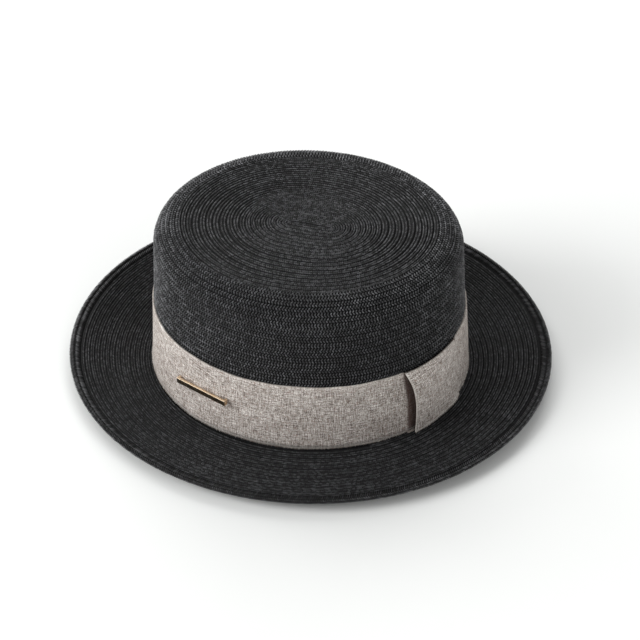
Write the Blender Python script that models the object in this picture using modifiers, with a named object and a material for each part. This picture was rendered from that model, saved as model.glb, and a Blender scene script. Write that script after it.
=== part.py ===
"""A straw boater hat: an oval flat-topped crown and a flat brim of sewn braid, a linen ribbon
round the crown with a wide wrap over its join, and a thin metal bar on the ribbon.

Metres, +Z up. The hat stands on the flat ring under its brim at Z = 0, with the middle of the
head opening at the origin and its length along X. The wearer's front looks along -Y.
"""
import math

import bmesh
import bpy

# Head opening, measured inside the crown where it meets the brim
HEAD_LENGTH = 0.1966
HEAD_WIDTH = 0.1674
# Straw
STRAW_WALL = 0.0020
CROWN_HEIGHT = 0.1115
WALL_TAPER = 0.0044
WALL_FLARE = 1.12
SHOULDER_RADIUS = 0.0155
TOP_DISH = 0.0015
CORE_LENGTH = 0.0260
CORE_RIGHT = 0.0010
CORE_BACK = 0.0003
CORE_TURN = math.radians(-7.3)
CORE_END_ROUNDING = 0.05
# Brim
BRIM_WIDTH = 0.0556
BRIM_REST = 0.0100
BRIM_RISE = 0.0076
BRIM_SWEEP = 1.25
EDGE_WIDTH = 0.0065
EDGE_THICKNESS = 0.0023
# Ribbon
RIBBON_WIDTH = 0.0490
RIBBON_THICKNESS = 0.0010
RIBBON_LIFT = 0.0010
# Wrap over the join of the ribbon
WRAP_TURN = math.radians(-34.05)
WRAP_SPREAD = math.radians(28.9)
WRAP_SLANT = math.radians(3.1)
WRAP_OVERLAP = 0.0005
WRAP_LIFT = 0.0055
WRAP_FOLD = 0.0012
# Metal bar
BAR_TURN = math.radians(-120.3)
BAR_LENGTH = 0.0388
BAR_HEIGHT = 0.0040
BAR_THICKNESS = 0.0017
BAR_RISE = 0.0263
BAR_TILT = math.radians(3.0)
BAR_ROUNDING = 0.0004
BAR_LEG_WIDTH = 0.0016
# Clearance between pieces that touch
GAP = 0.0003

# Facets
ROUND_STEPS = 72
TOP_RING_SHARES = (0.30, 0.65, 1.0)
SHOULDER_STEPS = 6
RIBBON_STEPS = 3
UPPER_WALL_STEPS = 3
BRIM_STEPS = 5

# How far the wrap's open side stands off the ribbon down its length, as shares of WRAP_LIFT
WRAP_LEVELS = (
    {"down": 0.00, "lift": 0.00},
    {"down": 0.06, "lift": 0.45},
    {"down": 0.13, "lift": 0.86},
    {"down": 0.22, "lift": 1.00},
    {"down": 0.36, "lift": 0.99},
    {"down": 0.52, "lift": 0.90},
    {"down": 0.68, "lift": 0.77},
    {"down": 0.84, "lift": 0.61},
    {"down": 1.00, "lift": 0.40},
)

# The wrap from its open side to its far side: its share of that lift, and of the far side's fold
WRAP_COLUMNS = (
    {"across": 0.00, "open": 1.00, "fold": 0.00},
    {"across": 0.12, "open": 0.88, "fold": 0.00},
    {"across": 0.26, "open": 0.70, "fold": 0.00},
    {"across": 0.40, "open": 0.50, "fold": 0.06},
    {"across": 0.55, "open": 0.33, "fold": 0.20},
    {"across": 0.68, "open": 0.20, "fold": 0.45},
    {"across": 0.78, "open": 0.11, "fold": 0.84},
    {"across": 0.86, "open": 0.05, "fold": 1.00},
    {"across": 0.93, "open": 0.02, "fold": 0.55},
    {"across": 1.00, "open": 0.00, "fold": 0.00},
)

# The braid edge's section: shares of its width outwards and of its thickness upwards
EDGE_SECTION = (
    {"out": 0.00, "up": 0.08},
    {"out": 0.00, "up": 0.86},
    {"out": 0.25, "up": 1.00},
    {"out": 0.70, "up": 0.96},
    {"out": 0.95, "up": 0.70},
    {"out": 1.00, "up": 0.36},
    {"out": 0.90, "up": 0.08},
    {"out": 0.60, "up": 0.00},
)

# Heights that follow from the sizes
CROWN_FOOT = STRAW_WALL + GAP
RIBBON_LOW = STRAW_WALL + RIBBON_LIFT
RIBBON_HIGH = RIBBON_LOW + RIBBON_WIDTH
SHOULDER_FOOT = CROWN_HEIGHT - SHOULDER_RADIUS


def oval_reach(turn):
    """How far the head oval reaches along the direction turn, and how that changes with turn."""
    length = HEAD_LENGTH / 2 * math.cos(turn)
    width = HEAD_WIDTH / 2 * math.sin(turn)
    reach = math.hypot(length, width)
    change = ((HEAD_WIDTH / 2) ** 2 - (HEAD_LENGTH / 2) ** 2) * math.sin(turn) * math.cos(turn) / reach
    return reach, change


def from_reach(turn, reach, change):
    """The point of an outline whose outward normal points along turn."""
    x = reach * math.cos(turn) - change * math.sin(turn)
    y = reach * math.sin(turn) + change * math.cos(turn)
    return x, y


def oval_point(turn, offset):
    """A point of the head oval grown by offset."""
    reach, change = oval_reach(turn)
    return from_reach(turn, reach + offset, change)


def oval_bend(turn, offset):
    """The radius of the grown oval's curve where its normal points along turn."""
    reach, _ = oval_reach(turn)
    return (HEAD_LENGTH * HEAD_WIDTH / 4) ** 2 / reach ** 3 + offset


def wall_offset(height):
    """How far the crown's outer face stands off the head oval at a height."""
    share = (height - RIBBON_LOW) / (SHOULDER_FOOT - RIBBON_LOW)
    share = min(max(share, 0.0), 1.0)
    return STRAW_WALL - WALL_TAPER * (1 - (1 - share) ** WALL_FLARE)


def top_edge_offset():
    """How far the edge of the flat top stands off the head oval."""
    return STRAW_WALL - WALL_TAPER - SHOULDER_RADIUS


def top_point(turn, share):
    """A point of the flat top: share 0 is the braid's first straight length, 1 is the top's edge."""
    reach, change = oval_reach(turn)
    reach += top_edge_offset()
    core_cos = math.cos(turn - CORE_TURN)
    core_sin = math.sin(turn - CORE_TURN)
    soft = math.hypot(core_cos, CORE_END_ROUNDING)
    core_reach = CORE_LENGTH / 2 * soft
    core_change = -CORE_LENGTH / 2 * core_cos * core_sin / soft
    rest = 1 - share
    x, y = from_reach(turn, share * reach + rest * core_reach, share * change + rest * core_change)
    return x + rest * CORE_RIGHT, y + rest * CORE_BACK


def brim_rise(offset):
    """How far the brim has risen from its flat ring at an offset from the head oval."""
    share = max(0.0, (offset - BRIM_REST) / (BRIM_WIDTH - BRIM_REST))
    return BRIM_RISE * share ** BRIM_SWEEP


def steps_between(low, high, count):
    """Evenly spaced values from low to high, count steps apart."""
    return [low + (high - low) * step / count for step in range(count + 1)]


def loft_rings(bm, rings, closed):
    """Joins rings of points, outside first, because an oval wall of even thickness can't be turned."""
    turns = [2 * math.pi * step / ROUND_STEPS for step in range(ROUND_STEPS)]
    loops = [[bm.verts.new(ring(turn)) for turn in turns] for ring in rings]
    pairs = list(zip(loops, loops[1:]))
    if closed:
        pairs.append((loops[-1], loops[0]))
    for upper, lower in pairs:
        for step in range(ROUND_STEPS):
            beside = (step + 1) % ROUND_STEPS
            bm.faces.new((upper[step], lower[step], lower[beside], upper[beside]))
    return loops


def oval_ring(offset, height):
    """A ring of the grown head oval, as a function of the turn."""
    return lambda turn: (*oval_point(turn, offset), height)


def top_ring(share):
    """A ring of the slightly dished flat top, as a function of the turn."""
    height = CROWN_HEIGHT - TOP_DISH * (1 - share ** 2)
    return lambda turn: (*top_point(turn, share), height)


def add_material(obj, colour, roughness, metallic):
    """Gives obj its own plain material."""
    material = bpy.data.materials.new(obj.name + "_finish")
    material.use_nodes = True
    shader = material.node_tree.nodes["Principled BSDF"]
    shader.inputs["Base Color"].default_value = (*colour, 1.0)
    shader.inputs["Roughness"].default_value = roughness
    shader.inputs["Metallic"].default_value = metallic
    obj.data.materials.append(material)


def add_object(name, bm, collection, crease_degrees=35.0):
    """Turns bm into a smooth-shaded object of the collection."""
    mesh = bpy.data.meshes.new(name)
    bm.to_mesh(mesh)
    bm.free()
    mesh.shade_smooth()
    mesh.set_sharp_from_angle(angle=math.radians(crease_degrees))
    obj = bpy.data.objects.new(name, mesh)
    collection.objects.link(obj)
    return obj


def add_wall(obj, thickness):
    """Thickens an open surface inwards."""
    wall = obj.modifiers.new("Wall", "SOLIDIFY")
    wall.thickness = thickness
    wall.offset = -1.0
    wall.use_even_offset = True


def make_crown(collection):
    """The crown: flat top, rounded shoulder and slightly tapered wall, open below."""
    rings = [top_ring(share) for share in TOP_RING_SHARES]
    for step in range(1, SHOULDER_STEPS + 1):
        angle = math.pi / 2 * step / SHOULDER_STEPS
        offset = top_edge_offset() + SHOULDER_RADIUS * math.sin(angle)
        height = SHOULDER_FOOT + SHOULDER_RADIUS * math.cos(angle)
        rings.append(oval_ring(offset, height))
    upper = steps_between(SHOULDER_FOOT, RIBBON_HIGH, UPPER_WALL_STEPS)[1:]
    behind_ribbon = steps_between(RIBBON_HIGH, RIBBON_LOW, RIBBON_STEPS)[1:]
    for height in upper + behind_ribbon + [CROWN_FOOT]:
        rings.append(oval_ring(wall_offset(height), height))
    bm = bmesh.new()
    loops = loft_rings(bm, rings, closed=False)
    bm.faces.new(loops[0])
    crown = add_object("crown", bm, collection)
    add_wall(crown, STRAW_WALL)
    add_material(crown, (0.013, 0.013, 0.014), 0.62, 0.0)
    return crown


def make_brim(collection):
    """The brim: a flat ring under the crown's wall, then a slight rise to the edge braid."""
    outer = BRIM_WIDTH - EDGE_WIDTH - GAP
    offsets = [0.0] + steps_between(BRIM_REST, outer, BRIM_STEPS)
    rings = [oval_ring(offset, brim_rise(offset) + STRAW_WALL) for offset in offsets]
    rings += [oval_ring(offset, brim_rise(offset)) for offset in reversed(offsets)]
    bm = bmesh.new()
    loft_rings(bm, rings, closed=True)
    brim = add_object("brim", bm, collection)
    add_material(brim, (0.013, 0.013, 0.014), 0.62, 0.0)
    return brim


def make_brim_edge(collection):
    """The wider braid that finishes the brim."""
    rings = []
    for corner in EDGE_SECTION:
        offset = BRIM_WIDTH - EDGE_WIDTH + EDGE_WIDTH * corner["out"]
        height = brim_rise(offset) + EDGE_THICKNESS * corner["up"]
        rings.append(oval_ring(offset, height))
    bm = bmesh.new()
    loft_rings(bm, rings, closed=True)
    edge = add_object("brim_edge", bm, collection, crease_degrees=60.0)
    add_material(edge, (0.011, 0.011, 0.012), 0.58, 0.0)
    return edge


def make_hat_band(collection):
    """The ribbon: a thin sleeve on the crown's wall, just above the brim."""
    heights = steps_between(RIBBON_HIGH, RIBBON_LOW, RIBBON_STEPS)
    rings = []
    for height in heights:
        rings.append(oval_ring(wall_offset(height) + GAP + RIBBON_THICKNESS, height))
    for height in reversed(heights):
        rings.append(oval_ring(wall_offset(height) + GAP, height))
    bm = bmesh.new()
    loft_rings(bm, rings, closed=True)
    band = add_object("hat_band", bm, collection)
    add_material(band, (0.36, 0.32, 0.285), 0.85, 0.0)
    return band


def wrap_point(column, level):
    """A point of the wrap's outer face. The wrap lies on the ribbon, stands off it at its open
    side, and has a round fold low on its far side."""
    down = level["down"]
    high = RIBBON_HIGH + WRAP_OVERLAP
    low = RIBBON_LOW - WRAP_OVERLAP
    height = high + (low - high) * down
    turn = WRAP_TURN + WRAP_SPREAD * (column["across"] - 0.5) - WRAP_SLANT * (1 - down) ** 3
    lift = WRAP_LIFT * column["open"] * level["lift"] + WRAP_FOLD * column["fold"] * down ** 1.5
    return (*oval_point(turn, wall_offset(height) + 2 * (GAP + RIBBON_THICKNESS) + lift), height)


def make_band_wrap(collection):
    """The flat wrap of ribbon over the join, open at one side."""
    bm = bmesh.new()
    columns = []
    for column in WRAP_COLUMNS:
        columns.append([bm.verts.new(wrap_point(column, level)) for level in WRAP_LEVELS])
    for left, right in zip(columns, columns[1:]):
        for row in range(len(left) - 1):
            bm.faces.new((left[row], left[row + 1], right[row + 1], right[row]))
    wrap = add_object("band_wrap", bm, collection)
    add_wall(wrap, RIBBON_THICKNESS)
    add_material(wrap, (0.38, 0.34, 0.305), 0.85, 0.0)
    return wrap


def make_metal_bar(collection):
    """The plain bar: straight, so it touches the round ribbon at its middle, with both ends bent
    back to the ribbon. Its right end stands a little higher than its left."""
    height = RIBBON_LOW + BAR_RISE
    lean_in = wall_offset(height - BAR_HEIGHT / 2) - wall_offset(height + BAR_HEIGHT / 2)
    lean = math.atan2(lean_in, BAR_HEIGHT)
    band_offset = wall_offset(height) + GAP + RIBBON_THICKNESS
    stand = GAP / math.cos(lean) + BAR_HEIGHT / 2 * math.sin(lean)
    x, y = oval_point(BAR_TURN, band_offset + stand + BAR_THICKNESS / 2)
    bend = oval_bend(BAR_TURN, band_offset)
    end = BAR_LENGTH / 2
    inner = end - BAR_LEG_WIDTH
    front = -BAR_THICKNESS / 2
    back = BAR_THICKNESS / 2
    foot = back + bend - math.sqrt(bend ** 2 - inner ** 2)
    outline = (
        (-end, front), (end, front), (end, foot), (inner, foot),
        (inner, back), (-inner, back), (-inner, foot), (-end, foot),
    )
    bm = bmesh.new()
    lower = [bm.verts.new((along, out, -BAR_HEIGHT / 2)) for along, out in outline]
    upper = [bm.verts.new((along, out, BAR_HEIGHT / 2)) for along, out in outline]
    bm.faces.new(reversed(lower))
    bm.faces.new(upper)
    for step in range(len(outline)):
        beside = (step + 1) % len(outline)
        bm.faces.new((lower[step], lower[beside], upper[beside], upper[step]))
    bar = add_object("metal_bar", bm, collection)
    bar.location = (x, y, height)
    bar.rotation_euler = (-lean, -BAR_TILT, BAR_TURN + math.pi / 2)
    rounding = bar.modifiers.new("Rounding", "BEVEL")
    rounding.width = BAR_ROUNDING
    rounding.segments = 2
    add_material(bar, (0.66, 0.43, 0.24), 0.2, 1.0)
    return bar


def main():
    """Builds the hat from nothing."""
    for obj in list(bpy.data.objects):
        bpy.data.objects.remove(obj, do_unlink=True)
    hat = bpy.data.collections.new("straw_boater_hat")
    bpy.context.scene.collection.children.link(hat)
    make_crown(hat)
    make_brim(hat)
    make_brim_edge(hat)
    make_hat_band(hat)
    make_band_wrap(hat)
    make_metal_bar(hat)


main()
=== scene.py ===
"""The looks of a black straw boater: sewn paper braid, a slub linen ribbon with a wide wrap over its
join, and a plain gold bar on the ribbon.

Metres, +Z up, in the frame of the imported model. Every outline of the hat is the oval of its head
opening grown by an offset. A point of such an outline is named by its turn, the direction of its
outward normal, and all braid is one spiral that gains a row each time it goes round.
"""

import logging
import math
from dataclasses import dataclass
from enum import Enum
from typing import Sequence

import bmesh
import bpy
import numpy as np
from mathutils import Matrix, Vector


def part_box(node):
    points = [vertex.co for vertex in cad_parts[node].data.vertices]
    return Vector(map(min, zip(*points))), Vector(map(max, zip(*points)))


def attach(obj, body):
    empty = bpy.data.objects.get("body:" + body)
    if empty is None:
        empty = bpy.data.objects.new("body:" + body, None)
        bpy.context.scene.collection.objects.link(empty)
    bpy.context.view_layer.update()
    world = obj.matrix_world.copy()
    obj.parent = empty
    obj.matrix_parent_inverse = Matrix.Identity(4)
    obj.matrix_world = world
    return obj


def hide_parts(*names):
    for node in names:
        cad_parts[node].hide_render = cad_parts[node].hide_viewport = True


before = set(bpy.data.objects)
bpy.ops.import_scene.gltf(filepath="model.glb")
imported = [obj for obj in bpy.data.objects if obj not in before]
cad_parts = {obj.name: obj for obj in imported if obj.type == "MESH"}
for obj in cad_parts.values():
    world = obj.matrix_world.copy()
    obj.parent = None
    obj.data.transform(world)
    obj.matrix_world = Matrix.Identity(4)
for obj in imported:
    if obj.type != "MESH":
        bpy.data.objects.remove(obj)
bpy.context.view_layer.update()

log = logging.getLogger("boater")

Colour = tuple[float, float, float]
FULL_TURN = 2 * math.pi

# Clearances and thicknesses of the model
GAP = 0.0003
STRAW_WALL = 0.0020
RIBBON_THICKNESS = 0.0010

# How far the braided wall reaches down past the solid wall's foot, into the relief of the brim
FOOT_REACH = 0.0013

# Camera, measured from the photo
CAMERA_PLACE = (0.19022, -1.21198, 1.13449)
CAMERA_RIGHT = (0.98989716, 0.1414798, -0.00933187)
CAMERA_UP = (-0.08774895, 0.66299456, 0.74346374)
SENSOR_WIDTH = 36.0
LENS = 146.25

# One row of braid in section, from the side nearer the core to the side that lies over the next row
ROW_SECTION = (
    {"across": 0.00, "rise": -0.00125},
    {"across": 0.10, "rise": -0.00100},
    {"across": 0.26, "rise": -0.00050},
    {"across": 0.49, "rise": -0.00078},
    {"across": 0.72, "rise": -0.00042},
    {"across": 0.91, "rise": -0.00060},
)
ROW_END_RISE = -0.00070

# Width of the crown's rows at distances from the core, measured down the front
CROWN_ROW_WIDTHS = (
    {"along": 0.000, "width": 0.0031},
    {"along": 0.026, "width": 0.0031},
    {"along": 0.034, "width": 0.0040},
    {"along": 0.054, "width": 0.0041},
    {"along": 0.061, "width": 0.0034},
    {"along": 0.088, "width": 0.0033},
    {"along": 0.095, "width": 0.0040},
    {"along": 0.190, "width": 0.0042},
)

# Distance from strand to strand along the braid, which shows coarser on the crown's wall
STRAND_PITCH = 0.00135
WALL_STRAND_PITCH = 0.00190

# How many rows of a form stay free of strands at the start and the end of its spiral
FREE_ROWS = 0.12

# Points to each turn of a spiral where the places of its strands are measured
ROW_SAMPLES = 1440

# The edge braid in section: shares of its width outwards and of its thickness upwards
EDGE_SECTION = (
    {"out": 0.00, "up": 0.08},
    {"out": 0.00, "up": 0.28},
    {"out": 0.05, "up": 0.40},
    {"out": 0.14, "up": 0.56},
    {"out": 0.26, "up": 0.64},
    {"out": 0.40, "up": 0.66},
    {"out": 0.54, "up": 0.62},
    {"out": 0.63, "up": 0.50},
    {"out": 0.70, "up": 0.50},
    {"out": 0.80, "up": 0.62},
    {"out": 0.92, "up": 0.56},
    {"out": 0.98, "up": 0.36},
    {"out": 0.92, "up": 0.16},
    {"out": 0.72, "up": 0.08},
    {"out": 0.50, "up": 0.16},
    {"out": 0.28, "up": 0.08},
)

# Lines of strands on the edge braid, with the lean of the way they face from straight up, in degrees
EDGE_LINES = (
    {"out": 0.35, "up": 0.78, "lean": 0.0, "slant": 66.0, "span": 0.0040},
    {"out": 0.80, "up": 0.74, "lean": -14.0, "slant": -52.0, "span": 0.0027},
    {"out": 0.98, "up": 0.38, "lean": -84.0, "slant": 14.0, "span": 0.0024},
    {"out": 0.70, "up": 0.12, "lean": 180.0, "slant": 60.0, "span": 0.0036},
    {"out": 0.24, "up": 0.12, "lean": 180.0, "slant": -52.0, "span": 0.0029},
)

# How far the wrap's open side stands off the ribbon down its length, as shares of its lift
WRAP_LEVELS = (
    {"down": 0.00, "lift": 0.00},
    {"down": 0.06, "lift": 0.45},
    {"down": 0.13, "lift": 0.86},
    {"down": 0.22, "lift": 1.00},
    {"down": 0.36, "lift": 0.99},
    {"down": 0.52, "lift": 0.90},
    {"down": 0.68, "lift": 0.77},
    {"down": 0.84, "lift": 0.61},
    {"down": 1.00, "lift": 0.40},
)

# The wrap from its open side to its far side: its share of that lift, and of the far side's fold
WRAP_COLUMNS = (
    {"across": 0.00, "open": 1.00, "fold": 0.00},
    {"across": 0.12, "open": 0.88, "fold": 0.00},
    {"across": 0.26, "open": 0.70, "fold": 0.00},
    {"across": 0.40, "open": 0.50, "fold": 0.06},
    {"across": 0.55, "open": 0.33, "fold": 0.20},
    {"across": 0.68, "open": 0.20, "fold": 0.45},
    {"across": 0.78, "open": 0.11, "fold": 0.84},
    {"across": 0.86, "open": 0.05, "fold": 1.00},
    {"across": 0.93, "open": 0.02, "fold": 0.55},
    {"across": 1.00, "open": 0.00, "fold": 0.00},
)


class Side(Enum):
    """The two sides of a braided wall, with the sign of its outward normal."""

    OUTER = 1
    INNER = -1


class Slot(Enum):
    """Names for the record's material slots, which nothing in this script uses. The bar keeps its own."""

    STRAW = "straw"
    EDGE = "edge_braid"
    RIBBON = "ribbon"


@dataclass(frozen=True)
class HeadOval:
    """The head opening's oval, which every outline of the hat follows."""

    length: float
    width: float

    def reach(self, turn: np.ndarray) -> tuple[np.ndarray, np.ndarray]:
        """How far the oval reaches along turn, and how that changes with turn.

        Args:
            turn: Directions of the outward normal.

        Returns:
            The reach and its change, each for every turn.
        """
        long_side = self.length / 2 * np.cos(turn)
        wide_side = self.width / 2 * np.sin(turn)
        reach = np.hypot(long_side, wide_side)
        spread = (self.width / 2) ** 2 - (self.length / 2) ** 2
        return reach, spread * np.sin(turn) * np.cos(turn) / reach

    def point(self, turn: np.ndarray, offset: np.ndarray) -> tuple[np.ndarray, np.ndarray]:
        """A point of the oval grown by offset."""
        reach, change = self.reach(turn)
        return from_reach(turn, reach + offset, change)


def from_reach(turn: np.ndarray, reach: np.ndarray, change: np.ndarray) -> tuple[np.ndarray, np.ndarray]:
    """The point of an outline whose outward normal points along turn.

    Args:
        turn: Directions of the outward normal.
        reach: How far the outline reaches along them.
        change: How that changes with turn.

    Returns:
        The x and the y of each point.
    """
    x = reach * np.cos(turn) - change * np.sin(turn)
    y = reach * np.sin(turn) + change * np.cos(turn)
    return x, y


def column(table: Sequence[dict[str, float]], name: str) -> np.ndarray:
    """One named column of a table as an array."""
    return np.array([row[name] for row in table])


def read_soft(table: Sequence[dict[str, float]], key: str, name: str, place: np.ndarray) -> np.ndarray:
    """A table's column read at places between its rows, with the corners at its rows rounded."""
    nearby = [np.interp(place + step, column(table, key), column(table, name)) for step in (-0.03, 0.0, 0.03)]
    return sum(nearby) / len(nearby)


def turn_apart(turn: np.ndarray, middle: float) -> np.ndarray:
    """How far turns are from a middle one, the short way round."""
    return np.abs((turn - middle + math.pi) % FULL_TURN - math.pi)


def path_distance(points: np.ndarray) -> np.ndarray:
    """Distance gone at each point of a path."""
    return np.concatenate(([0.0], np.cumsum(np.linalg.norm(np.diff(points, axis=0), axis=-1))))


def read_path(places: np.ndarray, distance: np.ndarray, path: np.ndarray) -> np.ndarray:
    """The points of a path at places between the distances gone at its own points."""
    return np.stack([np.interp(places, distance, path[:, axis]) for axis in range(3)], axis=-1)


def unit(vectors: np.ndarray) -> np.ndarray:
    """The vectors scaled to length one."""
    return vectors / np.linalg.norm(vectors, axis=-1, keepdims=True)


class BraidedForm:
    """A surface covered by one spiral of braid. A row value counts rows from the spiral's start."""

    rows: float

    def surface(self, turn: np.ndarray, row: np.ndarray) -> np.ndarray:
        """Points of the smooth surface, as an array whose last axis is x, y, z."""
        raise NotImplementedError

    def normal(self, turn: np.ndarray, row: np.ndarray) -> np.ndarray:
        """Outward normals of the smooth surface.

        Args:
            turn: Directions of the outline's normal.
            row: Row values.

        Returns:
            One normal for each pair of turn and row.
        """
        small_turn = 1e-4
        small_row = 2e-3
        row = np.clip(row, 2 * small_row, self.rows - 2 * small_row)
        outwards = self.surface(turn, row + small_row) - self.surface(turn, row - small_row)
        round_it = self.surface(turn + small_turn, row) - self.surface(turn - small_turn, row)
        return unit(np.cross(outwards, round_it))

    def place(self, turn: np.ndarray, row: np.ndarray, rise: np.ndarray) -> np.ndarray:
        """Points that stand off the smooth surface by rise."""
        return self.surface(turn, row) + self.normal(turn, row) * np.asarray(rise)[..., None]


@dataclass
class CrownForm(BraidedForm):
    """The crown from the core of its flat top, over the shoulder and down the wall.

    The wall doesn't lean below the ribbon's lower edge.
    """

    oval: HeadOval
    height: float
    foot: float
    ribbon_low: float
    taper: float = 0.0044
    flare: float = 1.12
    shoulder_radius: float = 0.0155
    dish: float = 0.0015
    core_length: float = 0.0260
    core_middle: tuple[float, float] = (0.0010, 0.0003)
    core_turn: float = math.radians(-7.3)
    core_end_rounding: float = 0.05
    wander: float = 0.00018
    calm_length: float = 0.010

    def __post_init__(self) -> None:
        """Works out the lengths down the crown and where its rows lie."""
        self.shoulder_foot = self.height - self.shoulder_radius
        self.edge_offset = STRAW_WALL - self.taper - self.shoulder_radius
        self.top_length = self.oval.width / 2 + self.edge_offset + self.core_middle[1]
        self.shoulder_length = self.shoulder_radius * math.pi / 2
        self.length = self.top_length + self.shoulder_length + self.shoulder_foot - self.foot
        self.along_samples = np.linspace(0.0, self.length, 2000)
        widths = np.interp(
            self.along_samples, column(CROWN_ROW_WIDTHS, "along"), column(CROWN_ROW_WIDTHS, "width"))
        step = self.along_samples[1]
        self.row_samples = np.concatenate(([0.0], np.cumsum(step / widths[1:])))
        self.rows = float(self.row_samples[-1])

    def wall_offset(self, height: np.ndarray) -> np.ndarray:
        """How far the wall's outer face stands off the head oval at a height."""
        share = np.clip((height - self.ribbon_low) / (self.shoulder_foot - self.ribbon_low), 0.0, 1.0)
        return STRAW_WALL - self.taper * (1 - (1 - share) ** self.flare)

    def row_at(self, along: float) -> float:
        """The row value at a distance from the core."""
        return float(np.interp(along, self.along_samples, self.row_samples))

    def top(self, turn: np.ndarray, share: np.ndarray) -> tuple[np.ndarray, np.ndarray]:
        """A point of the flat top, from the straight core at share 0 to the top's edge at 1.

        Args:
            turn: Directions of the outline's normal.
            share: Shares of the way from the core to the top's edge.

        Returns:
            The x and the y of each point.
        """
        reach, change = self.oval.reach(turn)
        reach = reach + self.edge_offset
        core_cos = np.cos(turn - self.core_turn)
        core_sin = np.sin(turn - self.core_turn)
        soft = np.hypot(core_cos, self.core_end_rounding)
        core_reach = self.core_length / 2 * soft
        core_change = -self.core_length / 2 * core_cos * core_sin / soft
        rest = 1 - share
        x, y = from_reach(turn, share * reach + rest * core_reach, share * change + rest * core_change)
        return x + rest * self.core_middle[0], y + rest * self.core_middle[1]

    def surface(self, turn: np.ndarray, row: np.ndarray) -> np.ndarray:
        """Points of the crown's smooth outer surface, whose rows wander a little off their line.

        Args:
            turn: Directions of the outline's normal.
            row: Row values.

        Returns:
            One point for each pair of turn and row.
        """
        along = np.interp(row, self.row_samples, self.along_samples)
        near_end = np.minimum(along, self.length - along)
        calm = np.clip(near_end / self.calm_length, 0.0, 1.0)
        along = along + self.wander * calm * np.sin(3 * turn + 1.7 * row)
        share = np.clip(along / self.top_length, 0.0, 1.0)
        top_x, top_y = self.top(turn, share)
        angle = np.clip((along - self.top_length) / self.shoulder_radius, 0.0, math.pi / 2)
        down = np.clip(along - self.top_length - self.shoulder_length, 0.0, None)
        height = self.shoulder_foot + self.shoulder_radius * np.cos(angle) - down
        shoulder = self.edge_offset + self.shoulder_radius * np.sin(angle)
        offset = np.where(down > 0, self.wall_offset(height), shoulder)
        side_x, side_y = self.oval.point(turn, offset)
        flat = along <= self.top_length
        x = np.where(flat, top_x, side_x)
        y = np.where(flat, top_y, side_y)
        z = np.where(flat, self.height - self.dish * (1 - share ** 2), height)
        return np.stack([x, y, z], axis=-1)


@dataclass
class BrimForm(BraidedForm):
    """The brim's upper surface between the crown and the edge braid.

    The width goes from the head opening to the brim's outer edge, which rises by rise_height.
    """

    oval: HeadOval
    width: float
    rise_height: float = 0.0076
    rest_width: float = 0.0100
    sweep: float = 1.25
    edge_width: float = 0.0065
    front_ease: float = 0.066
    wander: float = 0.00022
    rows: float = 15.3

    def __post_init__(self) -> None:
        """Works out where the rows end and the edge braid starts."""
        self.outer = self.width - self.edge_width - GAP

    def rise(self, offset: np.ndarray) -> np.ndarray:
        """How far the brim has risen from its flat ring at an offset."""
        share = np.clip((offset - self.rest_width) / (self.width - self.rest_width), 0.0, None)
        return self.rise_height * share ** self.sweep

    def surface(self, turn: np.ndarray, row: np.ndarray) -> np.ndarray:
        """Points of the brim's smooth upper surface, whose rows are wider near the crown at the front.

        Args:
            turn: Directions of the outline's normal.
            row: Row values.

        Returns:
            One point for each pair of turn and row.
        """
        share = row / self.rows
        middle = np.sin(math.pi * np.clip(share, 0.0, 1.0))
        front = np.clip(-np.sin(turn), 0.0, 1.0) ** 3
        offset = self.outer * (share + self.front_ease * front * middle)
        offset = offset + self.wander * middle * np.sin(4 * turn + 2.1 * row)
        x, y = self.oval.point(turn, offset)
        return np.stack([x, y, self.rise(offset) + STRAW_WALL], axis=-1)


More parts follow.
